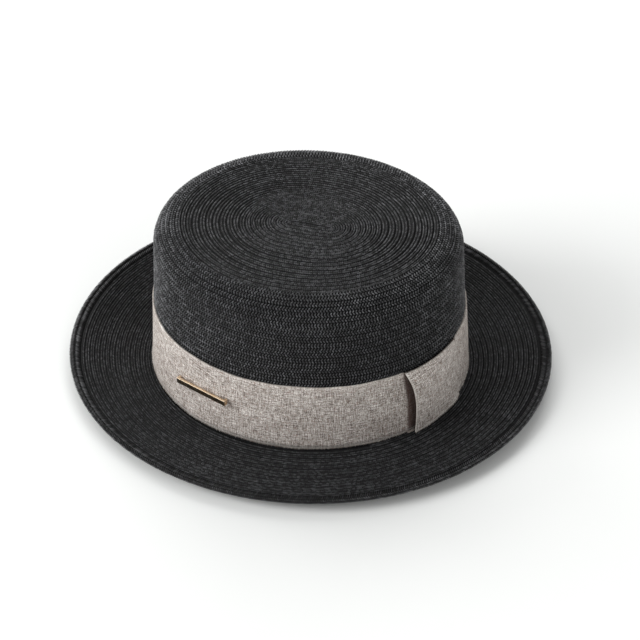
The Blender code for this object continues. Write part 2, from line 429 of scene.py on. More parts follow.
@dataclass(frozen=True)
class SpiralSkin:
    """A skin over a braided form, with the relief of its rows. The skin is one long spiral strip."""

    form: BraidedForm
    steps: int
    thickness: float

    def rises(self, rise: np.ndarray, side: Side) -> np.ndarray:
        """How far the relief stands off the outer surface, on either side of the wall.

        Args:
            rise: The relief as the outer side has it.
            side: The side of the wall.

        Returns:
            The relief as that side has it.
        """
        if side is Side.OUTER:
            return rise
        return -self.thickness - 0.6 * rise

    def grid(self, side: Side) -> tuple[np.ndarray, np.ndarray, np.ndarray]:
        """The strip's points, row by row of samples.

        Args:
            side: The side of the wall.

        Returns:
            The points, the distance along the braid and the row value, each for every sample and step.
        """
        samples = len(ROW_SECTION)
        count = math.ceil(self.form.rows) + 2
        first = np.repeat(np.arange(-1, count - 1), samples)
        across = np.tile(column(ROW_SECTION, "across"), count)
        rise = np.tile(column(ROW_SECTION, "rise"), count)
        turn = FULL_TURN * np.arange(self.steps) / self.steps
        round_share = turn[None, :] / FULL_TURN
        row = (first + across)[:, None] + round_share
        inside = (row > 0) & (row < self.form.rows)
        rise = np.where(inside, rise[:, None], ROW_END_RISE)
        row = np.clip(row, 0.0, self.form.rows)
        points = self.form.place(turn[None, :] + 0 * row, row, self.rises(rise, side))
        going = first[:, None] + round_share
        length = spiral_length(self.form, going)
        return points, length, row

    def faces(self, count: int) -> np.ndarray:
        """The strip's faces. The last step of a ring joins the first step of the ring a row further.

        Args:
            count: How many rings of samples the strip has.

        Returns:
            One row of four corners for each face.
        """
        samples = len(ROW_SECTION)
        ring = np.arange(count - 1)[:, None]
        step = np.arange(self.steps)[None, :]
        beside = (step + 1) % self.steps
        shift = np.where(beside == 0, samples, 0)
        near = np.minimum(ring + shift, count - 1)
        far = np.minimum(ring + 1 + shift, count - 1)
        corners = (
            ring * self.steps + step,
            (ring + 1) * self.steps + step,
            far * self.steps + beside,
            near * self.steps + beside,
        )
        return np.stack(np.broadcast_arrays(*corners), axis=-1).reshape(-1, 4)

    def build(self, name: str, open_core: bool) -> bpy.types.Object:
        """Both sides of the wall as one closed mesh.

        Args:
            name: Name of the piece.
            open_core: True where the spiral starts round an opening, False where it closes.

        Returns:
            The piece.
        """
        outer, length, row = self.grid(Side.OUTER)
        inner, _, _ = self.grid(Side.INNER)
        rings = len(outer)
        total = rings * self.steps
        skin = self.faces(rings)
        last = (rings - 1) * self.steps
        step = np.arange(self.steps)
        beside = (step + 1) % self.steps
        foot = np.stack([last + step, total + last + step, total + last + beside, last + beside], axis=-1)
        faces = [skin, (skin + total)[:, ::-1], foot]
        if open_core:
            faces.append(np.stack([total + step, step, beside, total + beside], axis=-1))
        points = np.concatenate([outer.reshape(-1, 3), inner.reshape(-1, 3)])
        lay = np.stack([length, row, 0 * row], axis=-1).reshape(-1, 3)
        obj = mesh_object(name, points, np.concatenate(faces), np.concatenate([lay, lay]))
        caps = () if open_core else (step, total + step[::-1])
        seal(obj, points, caps)
        return obj


def spiral_length(form: BraidedForm, going: np.ndarray) -> np.ndarray:
    """Distance along the braid.

    Args:
        form: The braided form.
        going: Counts of turns gone.

    Returns:
        The distance at each count.
    """
    counts = np.linspace(-1.0, math.ceil(form.rows) + 1.0, 4000)
    row = np.clip(counts + 0.5, 0.0, form.rows)
    points = form.surface(counts * FULL_TURN, row)
    return np.interp(going, counts, path_distance(points))


def mesh_object(name: str, points: np.ndarray, faces: np.ndarray, lay: np.ndarray | None) -> bpy.types.Object:
    """A smooth-shaded object of the scene.

    Args:
        name: Name of the object and its mesh.
        points: One row of x, y, z for each vertex.
        faces: One row of corners for each face.
        lay: For each vertex its distance along the braid and its row, or None.

    Returns:
        The object.
    """
    mesh = bpy.data.meshes.new(name)
    mesh.from_pydata(points.tolist(), [], faces.tolist())
    if lay is not None:
        attribute = mesh.attributes.new("lay", "FLOAT_VECTOR", "POINT")
        attribute.data.foreach_set("vector", lay.astype(np.float32).ravel())
    mesh.shade_smooth()
    obj = bpy.data.objects.new(name, mesh)
    bpy.context.scene.collection.objects.link(obj)
    return obj


def seal(obj: bpy.types.Object, points: np.ndarray, caps: Sequence[np.ndarray]) -> None:
    """Closes the rings of caps, then merges the points that the spiral's two ends leave double.

    Args:
        obj: The piece.
        points: The piece's points.
        caps: Rings of vertex numbers to close, in the order that makes their faces point out.
    """
    bm = bmesh.new()
    bm.from_mesh(obj.data)
    bm.verts.ensure_lookup_table()
    for ring in caps:
        bm.faces.new([bm.verts[int(index)] for index in ring])
    bmesh.ops.remove_doubles(bm, verts=bm.verts, dist=2e-6)
    bmesh.ops.dissolve_degenerate(bm, edges=bm.edges, dist=2e-6)
    long_faces = [face for face in bm.faces if len(face.verts) > 4]
    bmesh.ops.triangulate(bm, faces=long_faces)
    for face in bm.faces:
        face.smooth = True
    bm.to_mesh(obj.data)
    bm.free()


class NodeSum:
    """A node socket that can stand in a Python sum: each operator adds a Math node."""

    def __init__(self, nodes: "NodeSheet", socket: bpy.types.NodeSocket) -> None:
        """Wraps a socket of the tree that nodes builds."""
        self.nodes = nodes
        self.socket = socket

    def __add__(self, other: "NodeSum | float") -> "NodeSum":
        """This plus other."""
        return self.nodes.maths("ADD", self, other)

    def __radd__(self, other: float) -> "NodeSum":
        """Other plus this."""
        return self.nodes.maths("ADD", other, self)

    def __sub__(self, other: "NodeSum | float") -> "NodeSum":
        """This minus other."""
        return self.nodes.maths("SUBTRACT", self, other)

    def __rsub__(self, other: float) -> "NodeSum":
        """Other minus this."""
        return self.nodes.maths("SUBTRACT", other, self)

    def __mul__(self, other: "NodeSum | float") -> "NodeSum":
        """This times other."""
        return self.nodes.maths("MULTIPLY", self, other)

    def __rmul__(self, other: float) -> "NodeSum":
        """Other times this."""
        return self.nodes.maths("MULTIPLY", other, self)

    def __truediv__(self, other: "NodeSum | float") -> "NodeSum":
        """This over other."""
        return self.nodes.maths("DIVIDE", self, other)

    def __pow__(self, other: "NodeSum | float") -> "NodeSum":
        """This to the power other."""
        return self.nodes.maths("POWER", self, other)

    def sine(self) -> "NodeSum":
        """The sine of this."""
        return self.nodes.maths("SINE", self)

    def size(self) -> "NodeSum":
        """This without its sign."""
        return self.nodes.maths("ABSOLUTE", self)

    def part(self) -> "NodeSum":
        """What is left of this past the last whole number."""
        return self.nodes.maths("FRACT", self)

    def between(self, low: float, high: float) -> "NodeSum":
        """From 0 where this is low or less to 1 where it is high or more."""
        ranged = self.nodes.add("ShaderNodeMapRange", {}, {"Value": self, "From Min": low, "From Max": high})
        return NodeSum(self.nodes, ranged.outputs["Result"])


class NodeSheet:
    """Adds nodes to one tree, of a material or of Geometry Nodes."""

    def __init__(self, tree: bpy.types.NodeTree) -> None:
        """Starts on a tree that may hold nodes already."""
        self.tree = tree

    def add(self, kind: str, settings: dict, values: dict) -> bpy.types.Node:
        """Adds one node.

        Args:
            kind: The node's type.
            settings: Its settings, which are set first, such as an operation.
            values: What its input sockets hold, by name or number: a value, a NodeSum or a socket.

        Returns:
            The node.
        """
        node = self.tree.nodes.new(kind)
        for name, value in settings.items():
            if name == "stops":
                self.set_stops(node, value)
            else:
                setattr(node, name, value)
        for name, value in values.items():
            self.feed(node.inputs[name], value)
        return node

    def feed(self, socket: bpy.types.NodeSocket, value: object) -> None:
        """Links or sets one input socket.

        Args:
            socket: The socket.
            value: A value, a NodeSum or the socket to link it to.
        """
        if isinstance(value, NodeSum):
            value = value.socket
        if isinstance(value, bpy.types.NodeSocket):
            self.tree.links.new(value, socket)
        else:
            socket.default_value = value

    def set_stops(self, node: bpy.types.Node, stops: Sequence[tuple[float, Colour]]) -> None:
        """Gives a colour ramp its stops.

        Args:
            node: The ramp's node.
            stops: The places of the stops and their colours.
        """
        elements = node.color_ramp.elements
        while len(elements) < len(stops):
            elements.new(1.0)
        for element, (position, colour) in zip(elements, stops):
            element.position = position
            element.color = (*colour, 1.0)

    def maths(self, operation: str, first: object, second: object = 0.0) -> NodeSum:
        """One Math node."""
        node = self.add("ShaderNodeMath", {"operation": operation}, {0: first, 1: second})
        return NodeSum(self, node.outputs[0])

    def noise(self, place: object, scale: float, detail: float = 2.0) -> NodeSum:
        """Smooth noise from 0 to 1 at a place."""
        node = self.add("ShaderNodeTexNoise", {}, {"Vector": place, "Scale": scale, "Detail": detail})
        return NodeSum(self, node.outputs[0])

    def vector(self, x: object, y: object, z: object) -> bpy.types.NodeSocket:
        """A vector of three numbers."""
        node = self.add("ShaderNodeCombineXYZ", {}, {"X": x, "Y": y, "Z": z})
        return node.outputs[0]

    def blend(self, share: object, first: object, second: object) -> bpy.types.NodeSocket:
        """A colour between two others.

        Args:
            share: The second colour's share.
            first: The first colour, or a socket that gives it.
            second: The second colour, or a socket that gives it.

        Returns:
            The socket of the blended colour.
        """
        values = {"Factor": share, 6: colour_value(first), 7: colour_value(second)}
        node = self.add("ShaderNodeMix", {"data_type": "RGBA"}, values)
        return node.outputs[2]

    def ramp(self, share: object, stops: Sequence[tuple[float, Colour]]) -> bpy.types.NodeSocket:
        """A colour read from a ramp."""
        node = self.add("ShaderNodeValToRGB", {"stops": stops}, {"Fac": share})
        return node.outputs["Color"]

    def bump(self, height: object, strength: float, distance: float) -> bpy.types.NodeSocket:
        """A normal bent by a height.

        Args:
            height: The height.
            strength: How much of the bend is used.
            distance: The height's size in metres.

        Returns:
            The socket of the normal.
        """
        values = {"Height": height, "Strength": strength, "Distance": distance}
        node = self.add("ShaderNodeBump", {}, values)
        return node.outputs["Normal"]


def colour_value(colour: object) -> object:
    """A colour with its alpha, or a socket as it is."""
    return (*colour, 1.0) if isinstance(colour, tuple) else colour


class Finish:
    """What every finish shares: a material with one Principled shader."""

    name: str

    def material(self) -> bpy.types.Material:
        """Makes the finish.

        Returns:
            The material.
        """
        made = bpy.data.materials.new(self.name)
        made.use_nodes = True
        nodes = NodeSheet(made.node_tree)
        shader = made.node_tree.nodes["Principled BSDF"]
        for socket, value in self.dress(nodes).items():
            nodes.feed(shader.inputs[socket], value)
        return made

    def dress(self, nodes: NodeSheet) -> dict[str, object]:
        """What the finish feeds its shader.

        Args:
            nodes: Adds nodes to the material.

        Returns:
            The shader's inputs by name.
        """
        raise NotImplementedError


@dataclass(frozen=True)
class StrawFinish(Finish):
    """The braid's own wall of black paper straw, painted darkest in the seams between its rows and the gaps
    between its strands: painted shade.
    """

    name: str
    dark: Colour
    pale: Colour
    plait_pitch: float

    def dress(self, nodes: NodeSheet) -> dict[str, object]:
        """Patches and fibres, and the plait's slanting strands as relief.

        Args:
            nodes: Adds nodes to the material.

        Returns:
            The shader's inputs by name.
        """
        place = nodes.add("ShaderNodeTexCoord", {}, {}).outputs["Object"]
        lay = nodes.add("ShaderNodeAttribute", {"attribute_name": "lay"}, {}).outputs["Vector"]
        parts = nodes.add("ShaderNodeSeparateXYZ", {}, {0: lay})
        along = NodeSum(nodes, parts.outputs[0])
        across = NodeSum(nodes, parts.outputs[1]).part()
        # Painted shade: the colour darkens towards the seams between rows, where the grooves lie in shade.
        ridge = (1.0 - (2.0 * across - 1.0) ** 2.0).between(0.15, 0.75)
        fold = (across - 0.5).size()
        strand = (along / self.plait_pitch + 1.5 * fold).part()
        plait = 1.0 - (2.0 * strand - 1.0) ** 2.0
        fibre = nodes.noise(place, 3800.0, 1.0)
        patch = nodes.noise(place, 420.0, 2.0).between(0.35, 0.65)
        # Painted shade: darkest in the row seams and in the gaps between strands.
        colour = nodes.blend(ridge * plait * patch, self.dark, self.pale)
        normal = nodes.bump(plait + 0.25 * fibre, 0.55, 0.0004)
        return {"Base Color": colour, "Roughness": 0.72 + 0.2 * (fibre - 0.5), "Normal": normal,
                "Specular IOR Level": 0.25}


@dataclass(frozen=True)
class StrandFinish(Finish):
    """Strands of one fibre. Each has its own shade, at least the least one, and a few catch the light."""

    name: str
    dark: Colour
    pale: Colour
    roughness: float
    specular: float
    least: float = 0.0

    def dress(self, nodes: NodeSheet) -> dict[str, object]:
        """The strand's own shade, with fibres and patches over it.

        Args:
            nodes: Adds nodes to the material.

        Returns:
            The shader's inputs by name.
        """
        place = nodes.add("ShaderNodeTexCoord", {}, {}).outputs["Object"]
        drawn = nodes.add("ShaderNodeAttribute", {"attribute_name": "shade"}, {})
        shade = NodeSum(nodes, drawn.outputs["Fac"])
        patch = nodes.noise(place, 70.0, 2.0).between(0.25, 0.75)
        fibre = nodes.noise(place, 3000.0, 1.0)
        own = self.least + (1.0 - self.least) * shade ** 2.0
        tone = own * (0.55 + 0.45 * patch) + 0.3 * (fibre - 0.5)
        colour = nodes.blend(tone.between(0.0, 1.0), self.dark, self.pale)
        rough = self.roughness - 0.20 * shade ** 3.0 + 0.2 * (fibre - 0.5)
        normal = nodes.bump(fibre, 0.4, 0.00008)
        return {"Base Color": colour, "Roughness": rough, "Normal": normal,
                "Specular IOR Level": self.specular}


@dataclass(frozen=True)
class LinenFinish(Finish):
    """Taupe slub linen: uneven yarns both ways, paler at the ribbon's edges and at its cut ends, partly pale
    frayed yarn and partly painted highlight.

    The covered length, from its start to its stop, is painted dark brown: painted shade under the wrap and in
    its open side. Where both are the same there is none.
    """

    name: str
    width: float
    length: float
    covered: tuple[float, float]
    paler: float = 0.0
    yarn: float = 0.00060

    def dress(self, nodes: NodeSheet) -> dict[str, object]:
        """Yarns over and under each other, each with its own shade, with slubs and pale edges.

        Args:
            nodes: Adds nodes to the material.

        Returns:
            The shader's inputs by name.
        """
        place = nodes.add("ShaderNodeUVMap", {"uv_map": "weave"}, {}).outputs[0]
        parts = nodes.add("ShaderNodeSeparateXYZ", {}, {0: place})
        along = NodeSum(nodes, parts.outputs[0])
        across = NodeSum(nodes, parts.outputs[1])
        lengthwise = nodes.noise(nodes.vector(along * 150.0, across * 1700.0, 0.0), 1.0, 1.0)
        crosswise = nodes.noise(nodes.vector(along * 1700.0, across * 150.0, 9.0), 1.0, 1.0)
        warp = (along * (math.pi / self.yarn)).sine()
        weft = (across * (math.pi / self.yarn)).sine()
        over = (warp * weft).between(-0.3, 0.3)
        shade = lengthwise * over + crosswise * (1.0 - over)
        flecks = nodes.noise(nodes.vector(along * 900.0, across * 1000.0, 3.0), 1.0, 2.0)
        mood = nodes.noise(nodes.vector(along * 60.0, across * 60.0, 5.0), 1.0, 2.0)
        shade = shade + 0.55 * (flecks - 0.5) + 0.12 * (mood - 0.5) + self.paler
        stops = (
            (0.28, (0.080, 0.056, 0.047)),
            (0.40, (0.225, 0.188, 0.165)),
            (0.50, (0.395, 0.353, 0.322)),
            (0.60, (0.580, 0.535, 0.500)),
            (0.72, (0.860, 0.830, 0.795)),
        )
        colour = nodes.ramp(shade, stops)
        red = nodes.noise(nodes.vector(along * 500.0, across * 620.0, 7.0), 1.0, 1.0)
        colour = nodes.blend(red.between(0.60, 0.70) * 0.5, colour, (0.30, 0.185, 0.150))
        # Partly painted highlight: the top edge and the cut ends are paler, over their pale frayed yarn.
        high_rim = across.between(self.width - 0.0006, self.width - 0.0002)
        low_rim = 1.0 - across.between(0.0009, 0.0019)
        end = (along - self.length / 2).size().between(self.length / 2 - 0.0009, self.length / 2 - 0.0004)
        pale = nodes.maths("MAXIMUM", high_rim, end) * (0.2 + 0.4 * flecks)
        colour = nodes.blend(pale, colour, (0.72, 0.68, 0.63))
        # Painted shade: the ribbon under the wrap and in its open side is darkened to dark brown, the shade
        # of the deep gap behind the wrap.
        start, stop = self.covered
        if stop > start:
            slant = 0.0024 * across.between(0.55 * self.width, 0.95 * self.width)
            shade_entered = (along + slant).between(start, start + 0.0016)
            under = shade_entered * (1.0 - along.between(stop - 0.0016, stop))
            colour = nodes.blend(under * 0.85, colour, (0.075, 0.040, 0.032))
        # Partly painted light: the lower edge turns near white, its pale frayed yarn and painted light
        # against the shade near the brim.
        colour = nodes.blend(low_rim * (0.1 + 0.8 * flecks), colour, (0.95, 0.92, 0.87))
        height = 0.5 * (warp.size() * over + weft.size() * (1.0 - over)) + 0.7 * shade
        normal = nodes.bump(height, 0.7, 0.00026)
        return {"Base Color": colour, "Roughness": 0.80 + 0.16 * flecks, "Normal": normal,
                "Specular IOR Level": 0.2}


@dataclass(frozen=True)
class GoldFinish(Finish):
    """Polished rose gold with fine lengthwise polishing marks."""

    name: str
    turn: float

    def dress(self, nodes: NodeSheet) -> dict[str, object]:
        """Marks along the bar, and a little uneven gloss.

        Args:
            nodes: Adds nodes to the material.

        Returns:
            The shader's inputs by name.
        """
        place = nodes.add("ShaderNodeTexCoord", {}, {}).outputs["Object"]
        values = {"Vector": place, "Rotation": (0.0, 0.0, -self.turn), "Scale": (60.0, 2600.0, 2600.0)}
        lengthwise = nodes.add("ShaderNodeMapping", {}, values).outputs[0]
        marks = nodes.noise(lengthwise, 1.0, 2.0)
        cloud = nodes.noise(place, 160.0, 2.0)
        colour = nodes.blend(cloud.between(0.3, 0.7), (0.92, 0.67, 0.44), (0.98, 0.82, 0.63))
        rough = 0.10 + 0.12 * marks
        normal = nodes.bump(marks, 0.12, 0.00003)
        return {"Base Color": colour, "Metallic": 1.0, "Roughness": rough, "Normal": normal}


@dataclass(frozen=True)
class FloorFinish(Finish):
    """A plain pale floor."""

    name: str

    def dress(self, nodes: NodeSheet) -> dict[str, object]:
        """A very slight unevenness, so that the floor isn't one flat colour.

        Args:
            nodes: Adds nodes to the material.

        Returns:
            The shader's inputs by name.
        """
        place = nodes.add("ShaderNodeTexCoord", {}, {}).outputs["Object"]
        cloud = nodes.noise(place, 3.0, 2.0)
        colour = nodes.blend(cloud, (0.765, 0.775, 0.765), (0.785, 0.795, 0.785))
        return {"Base Color": colour, "Roughness": 0.6, "Specular IOR Level": 0.2}


@dataclass(frozen=True)
class PlaitLine:
    """One line of slanting strands along a form's braid, on one side of its wall."""

    across: float
    slant: float
    span: float
    rise: float
    first_row: float
    last_row: float


@dataclass(frozen=True)
class StrandSize:
    """The width and height of one area's strands, and the seed of their unevenness."""

    width: float
    height: float
    seed: int


class StrandScatter:
    """Lays small strands over a surface with Geometry Nodes."""

    def __init__(self, material: bpy.types.Material) -> None:
        """Takes the strands' finish and makes the tree."""
        self.material = material
        self.tree = self.make_tree()

    def make_strand(self) -> bpy.types.Object:
        """Makes one strand of unit size: narrow at both ends, with a short ridge.

        Returns:
            The strand.
        """
        points = np.array([
            (-0.5, 0.0, -0.30), (0.5, 0.0, -0.30), (0.0, 0.5, -0.25), (0.0, -0.5, -0.25),
            (-0.26, 0.0, 0.5), (0.26, 0.0, 0.5),
        ])
        faces = [(0, 4, 2), (4, 5, 2), (5, 1, 2), (0, 3, 4), (4, 3, 5), (5, 3, 1), (0, 2, 3), (1, 3, 2)]
        mesh = bpy.data.meshes.new("strand")
        mesh.from_pydata(points.tolist(), [], faces)
        mesh.shade_smooth()
        obj = bpy.data.objects.new("strand", mesh)
        bpy.context.scene.collection.objects.link(obj)
        return obj

    def make_tree(self) -> bpy.types.NodeTree:
        """Builds the tree: a strand at each point, laid along its heading and facing out of the surface.

        Returns:
            The tree.
        """
        tree = bpy.data.node_groups.new("plait", "GeometryNodeTree")
        face = tree.interface
        face.new_socket("Geometry", in_out="INPUT", socket_type="NodeSocketGeometry")
        face.new_socket("Strand", in_out="INPUT", socket_type="NodeSocketObject")
        for name in ("Width", "Height", "Unevenness"):
            face.new_socket(name, in_out="INPUT", socket_type="NodeSocketFloat")
        face.new_socket("Seed", in_out="INPUT", socket_type="NodeSocketInt")
        face.new_socket("Finish", in_out="INPUT", socket_type="NodeSocketMaterial")
        face.new_socket("Geometry", in_out="OUTPUT", socket_type="NodeSocketGeometry")
        nodes = NodeSheet(tree)
        given = nodes.add("NodeGroupInput", {}, {}).outputs
        vector = {"data_type": "FLOAT_VECTOR"}
        facing = nodes.add("GeometryNodeInputNamedAttribute", vector, {"Name": "facing"}).outputs[0]
        heading = nodes.add("GeometryNodeInputNamedAttribute", vector, {"Name": "heading"}).outputs[0]
        span = nodes.add("GeometryNodeInputNamedAttribute", {}, {"Name": "span"}).outputs[0]
        turned = nodes.add(
            "FunctionNodeAxesToRotation", {"primary_axis": "Z", "secondary_axis": "X"},
            {0: facing, 1: heading}).outputs[0]
        spread = NodeSum(nodes, given["Unevenness"])
        lengths = self.random_size(nodes, spread, given["Seed"])
        heights = self.random_size(nodes, spread, NodeSum(nodes, given["Seed"]) + 1.0)
        size = nodes.vector(
            NodeSum(nodes, span) * lengths,
            NodeSum(nodes, given["Width"]) * lengths,
            NodeSum(nodes, given["Height"]) * heights)
        strand = nodes.add("GeometryNodeObjectInfo", {}, {"Object": given["Strand"]}).outputs["Geometry"]
        points = nodes.add("GeometryNodeMeshToPoints", {}, {"Mesh": given["Geometry"]}).outputs[0]
        copies = nodes.add("GeometryNodeInstanceOnPoints", {}, {
            "Points": points, "Instance": strand, "Rotation": turned, "Scale": size}).outputs[0]
        chance = nodes.add("FunctionNodeRandomValue", {}, {"Seed": NodeSum(nodes, given["Seed"]) + 2.0})
        shaded = nodes.add(
            "GeometryNodeStoreNamedAttribute", {"data_type": "FLOAT", "domain": "INSTANCE"},
            {"Geometry": copies, "Name": "shade", "Value": chance.outputs[1]}).outputs[0]
        real = nodes.add("GeometryNodeRealizeInstances", {}, {"Geometry": shaded}).outputs[0]
        dressed = nodes.add(
            "GeometryNodeSetMaterial", {}, {"Geometry": real, "Material": given["Finish"]}).outputs[0]
        nodes.add("NodeGroupOutput", {}, {0: dressed})
        return tree

    def random_size(self, nodes: NodeSheet, spread: NodeSum, seed: object) -> NodeSum:
        """A random factor round 1 for each strand."""
        node = nodes.add("FunctionNodeRandomValue", {}, {2: 1.0 - spread, 3: 1.0 + spread, "Seed": seed})
        return NodeSum(nodes, node.outputs[1])

    def lay(self, name: str, laid: Sequence["LaidPoints"], size: StrandSize) -> bpy.types.Object:
        """A piece made of one strand at each point.

        Args:
            name: Name of the piece.
            laid: The points, by line of strands.
            size: The strands' size.

        Returns:
            The piece, a plain mesh.
        """
        points = np.concatenate([line.points for line in laid])
        mesh = bpy.data.meshes.new(name + "_points")
        mesh.from_pydata(points.tolist(), [], [])
        for label in ("facing", "heading"):
            vectors = np.concatenate([getattr(line, label) for line in laid])
            attribute = mesh.attributes.new(label, "FLOAT_VECTOR", "POINT")
            attribute.data.foreach_set("vector", vectors.astype(np.float32).ravel())
        spans = np.concatenate([line.span for line in laid])
        attribute = mesh.attributes.new("span", "FLOAT", "POINT")
        attribute.data.foreach_set("value", spans.astype(np.float32))
        source = bpy.data.objects.new(name + "_points", mesh)
        bpy.context.scene.collection.objects.link(source)
        strand = self.make_strand()
        values = {"Strand": strand, "Width": size.width, "Height": size.height, "Unevenness": 0.14,
                  "Seed": size.seed, "Finish": self.material}
        piece = grown(source, self.tree, values, name)
        bpy.data.objects.remove(strand, do_unlink=True)
        return piece


def grown(source: bpy.types.Object, tree: bpy.types.NodeTree, values: dict[str, object], name: str
          ) -> bpy.types.Object:
    """The plain mesh that a Geometry Nodes tree makes of an object, which is then removed.

    Args:
        source: The object that the tree starts from.
        tree: The tree.
        values: The tree's inputs by name.
        name: Name of the new piece.

    Returns:
        The new piece.
    """
    modifier = source.modifiers.new("Grow", "NODES")
    modifier.node_group = tree
    for item in tree.interface.items_tree:
        if item.in_out == "INPUT" and item.name in values:
            modifier[item.identifier] = values[item.name]
    mesh = bpy.data.meshes.new_from_object(source.evaluated_get(bpy.context.evaluated_depsgraph_get()))
    mesh.name = name
    bpy.data.objects.remove(source, do_unlink=True)
    obj = bpy.data.objects.new(name, mesh)
    bpy.context.scene.collection.objects.link(obj)
    return obj


@dataclass(frozen=True)
class LaidPoints:
    """Where strands lie: their points, the way they face, the way they head and their lengths."""

    points: np.ndarray
    facing: np.ndarray
    heading: np.ndarray
    span: np.ndarray


def slanted(tangent: np.ndarray, facing: np.ndarray, slant: float) -> np.ndarray:
    """Tangents turned about the way they face.

    Args:
        tangent: The tangents.
        facing: The way each faces.
        slant: The angle.

    Returns:
        The turned tangents.
    """
    beside = np.cross(facing, tangent)
    return tangent * math.cos(slant) + beside * math.sin(slant)


def lay_line(form: BraidedForm, line: PlaitLine, pitch: float, side: Side, thickness: float) -> LaidPoints:
    """Spreads one line of strands evenly along a form's spiral.

    Args:
        form: The braided form.
        line: The line of strands.
        pitch: Distance from strand to strand.
        side: The side of the wall that the strands lie on.
        thickness: The wall's thickness.

    Returns:
        The strands' places.
    """
    first = max(line.first_row, FREE_ROWS)
    last = min(line.last_row, form.rows - FREE_ROWS)
    counts = np.arange(first, last, 1 / ROW_SAMPLES)
    turn = (counts - line.across) * FULL_TURN
    rise = line.rise if side is Side.OUTER else -thickness - line.rise
    distance = path_distance(form.surface(turn, counts))
    wanted = np.arange(0.0, distance[-1], pitch)
    row = np.interp(wanted, distance, counts)
    turn = (row - line.across) * FULL_TURN
    points = form.place(turn, row, np.full_like(row, rise))
    near = 1e-4
    ahead = form.surface(turn + near * FULL_TURN, row + near)
    tangent = unit(ahead - form.surface(turn, row))
    facing = form.normal(turn, row) * side.value
    heading = slanted(tangent, facing, line.slant)
    return LaidPoints(points, facing, heading, np.full(len(row), line.span))


